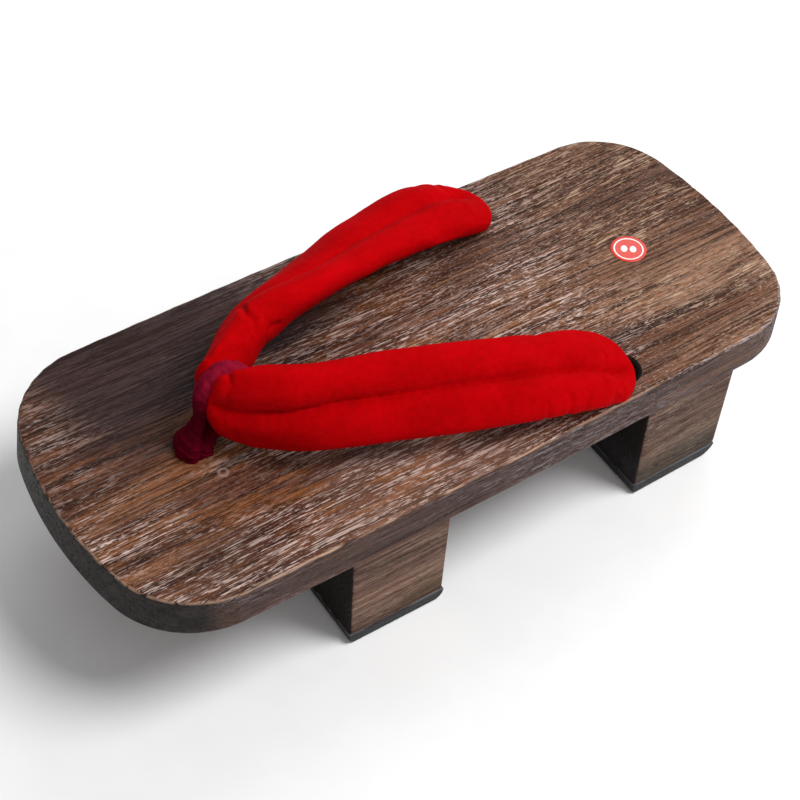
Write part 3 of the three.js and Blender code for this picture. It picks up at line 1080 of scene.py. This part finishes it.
def hole_cord(name, side):
    """The gathered end of the strap going down through its hole."""
    steps, sides, radius = 24, 40, 3.9
    angle = turn_angles(sides)
    rings = []
    for step in range(steps + 1):
        t = step / steps
        z = UNDERSIDE + 0.2 + t * (TOP + 3.5 - UNDERSIDE)
        reach = radius + 0.28 * np.cos(7 * angle + 1.5 * t) + 0.12 * np.sin(13 * angle - t * 4)
        x = REAR_HOLE[0] + reach * np.cos(angle)
        y = (REAR_HOLE[1] + reach * np.sin(angle)) * side
        rings.append(np.column_stack([x, y, np.full(sides, z)]))
    piece = closed_skin(name, rings)
    if side < 0:
        piece.data.flip_normals()
    shade(piece)
    return piece


for side, sign in (("left", 1), ("right", -1)):
    strap = finish_piece(strap_piece(f"strap_{side}", side), VELVET, "velvet", "upper")
    finish_piece(hole_cord(f"strap_end_{side}", sign), VELVET, "velvet")


# Thong


def thong_piece():
    """Gathered cloth: one loop with deep lengthwise folds, full at the board and pulled thin above it."""
    steps, sides = 230, 56
    angle = turn_angles(sides)
    across = np.array([0, 1.0, 0])
    rings = []
    for step in range(steps + 1):
        t = step / steps
        row, direction = spline(THONG, t)
        direction = unit(np.array([direction[0], 0, direction[1]]))
        flat = np.cross(direction, across)
        s = t * 100
        folds = 0.55 * np.cos(5 * angle + 0.16 * s) + 0.35 * np.cos(8 * angle - 0.24 * s + 1.0)
        folds += 0.2 * np.cos(13 * angle + 0.4 * s)
        wrinkle = 0.14 * np.sin(s * 1.7 + 2.0 * np.cos(angle))
        wrinkle += 0.1 * np.sin(s * 3.1 + 3 * np.sin(angle))
        loose = rise(abs(t - 0.5), 0.3, 0.44)
        reach = (0.16 + 0.22 * loose) * folds + wrinkle
        full = 1.0 + 0.06 * loose
        u = np.cos(angle) * (row[2] * full + reach)
        v = np.sin(angle) * (row[3] * full + reach * 0.8)
        centre = np.array([row[0], 0, TOP + row[1]])
        rings.append(centre + u[:, None] * across + v[:, None] * flat)
    piece = closed_skin("thong_cloth", rings)
    shade(piece)
    return piece


finish_piece(thong_piece(), CRIMSON, "thong_cloth", "thong")


# Knots under the board


def tube(name, path, radius):
    """A round cord along a path, with shallow twisted folds and rounded ends."""
    sides, folds, depth = 18, 5, 0.08
    path = np.asarray(path, float)
    tangent = np.gradient(path, axis=0)
    tangent /= np.linalg.norm(tangent, axis=1)[:, None]
    side = unit(np.cross(tangent[0], (0.3, 0.2, 1.0)))
    rings = []
    angle = turn_angles(sides)
    count = len(path)
    for i in range(count):
        side = unit(side - tangent[i] * (side @ tangent[i]))
        other = np.cross(tangent[i], side)
        from_end = min(i, count - 1 - i)
        cap = math.sqrt(max(0.0, 1 - (1 - min(1, (from_end + 0.4) / 5)) ** 2))
        reach = radius * cap * (1 + depth * np.cos(folds * angle + i * 0.12))
        u, v = np.cos(angle) * reach, np.sin(angle) * reach
        rings.append(path[i] + u[:, None] * side + v[:, None] * other)
    piece = closed_skin(name, rings)
    work = bmesh.new()
    work.from_mesh(piece.data)
    bmesh.ops.recalc_face_normals(work, faces=work.faces)
    work.to_mesh(piece.data)
    work.free()
    shade(piece)
    return piece


def knot_piece(name, node, radius):
    """A flat overhand knot that fills the CAD knot's place."""
    low, high = (np.array(corner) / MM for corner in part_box(node))
    centre, half = (low + high) / 2, (high - low) / 2 - radius * 1.06
    t = np.linspace(-0.04, 2 * math.pi * 0.97, 170)
    x = (np.sin(t) + 2 * np.sin(2 * t)) / 2.65
    y = (np.cos(t) - 2 * np.cos(2 * t)) / 2.9
    z = -np.sin(3 * t)
    path = centre + np.column_stack([x * half[0], y * half[1], z * half[2] * 0.95])
    return tube(name, path, radius)


finish_piece(knot_piece("front_knot_cloth", "front_knot", 2.3), CRIMSON, "thong_cloth", "front_knot")
for side in ("left", "right"):
    node = f"rear_knot_{side}"
    finish_piece(knot_piece(f"rear_knot_cloth_{side}", node, 1.9), VELVET, "velvet", node)


# Size disc


def disc_piece():
    """A thin printed disc on the heel, with its edge lifted a little on one side."""
    reaches = [5.9, 5.9, 5.85, 4.6, 3.0, 1.5, 0.2]
    heights = [0.03, 0.13, 0.17, 0.16, 0.15, 0.15, 0.15]
    rings = []
    angle = turn_angles(72)
    curl = 0.10 * rise(np.cos(angle - 2.1), 0.75, 1.0)
    for reach, height in zip(reaches, heights):
        lift = height + curl * (reach > 5 and height > 0.05)
        x = DISC[0] + reach * np.cos(angle)
        y = DISC[1] + reach * np.sin(angle)
        rings.append(np.column_stack([x, y, TOP + lift]))
    piece = closed_skin("size_disc", rings)
    shade(piece, 50)
    return piece


finish_piece(disc_piece(), disc_material("disc_print"), "velvet")


# Stage, light and camera


def stage_floor():
    """A plain pale sheet just under the treads."""
    reach, rows, below = 3.0, 40, 0.0002
    edges = []
    for row in range(rows + 1):
        y = -reach + 2 * reach * row / rows
        edges.append([(x, y, -below) for x in (-reach, reach)])
    vertices = np.array(edges).reshape(-1, 3) / MM
    faces = [(2 * i, 2 * i + 1, 2 * i + 3, 2 * i + 2) for i in range(rows)]
    floor = new_object("floor", vertices, faces)
    n = Nodes("floor_paper")
    fine = n.noise(n.place, scale=0.05, detail=2)
    colour = n.mix(n.band(fine, 0.3, 0.7), (0.93, 0.93, 0.93), (0.95, 0.95, 0.95))
    floor.data.materials.append(n.surface(Base_Color=colour, Roughness=0.9, Specular_IOR_Level=0.1))


def area_light(name, place, size, power):
    data = bpy.data.lights.new(name, "AREA")
    data.shape = "DISK"
    data.size = size
    data.energy = power
    light = bpy.data.objects.new(name, data)
    light.location = place
    light.rotation_euler = (Vector(LIT_POINT) - Vector(place)).to_track_quat("-Z", "Y").to_euler()
    bpy.context.scene.collection.objects.link(light)


def room_light():
    world = bpy.data.worlds.new("studio")
    world.use_nodes = True
    background = world.node_tree.nodes["Background"]
    background.inputs[0].default_value = (1, 1, 1, 1)
    background.inputs[1].default_value = ROOM_LIGHT
    bpy.context.scene.world = world


def camera():
    """Looks down on the toe from the left side, level with the picture's own tilt."""
    azimuth, elevation, roll = (math.radians(angle) for angle in VIEW_DEGREES)
    level = math.cos(elevation)
    back = Vector((math.sin(azimuth) * level, math.cos(azimuth) * level, math.sin(elevation)))
    right = Vector((0, 0, 1)).cross(back).normalized()
    up = back.cross(right)
    axes = (math.cos(roll) * right + math.sin(roll) * up, math.cos(roll) * up - math.sin(roll) * right, back)
    place = sum((offset * axis for offset, axis in zip(VIEW_PLACE, axes)), Vector()) * MM
    data = bpy.data.cameras.new("camera")
    data.sensor_width = 36
    data.lens = LENS
    data.clip_start = 0.02
    view = bpy.data.objects.new("camera", data)
    view.matrix_world = Matrix.Translation(place) @ Matrix(axes).transposed().to_4x4()
    bpy.context.scene.collection.objects.link(view)
    bpy.context.scene.camera = view


stage_floor()
for light in LIGHTS:
    area_light(*light)
room_light()
bpy.context.scene.view_settings.view_transform = "Standard"
camera()
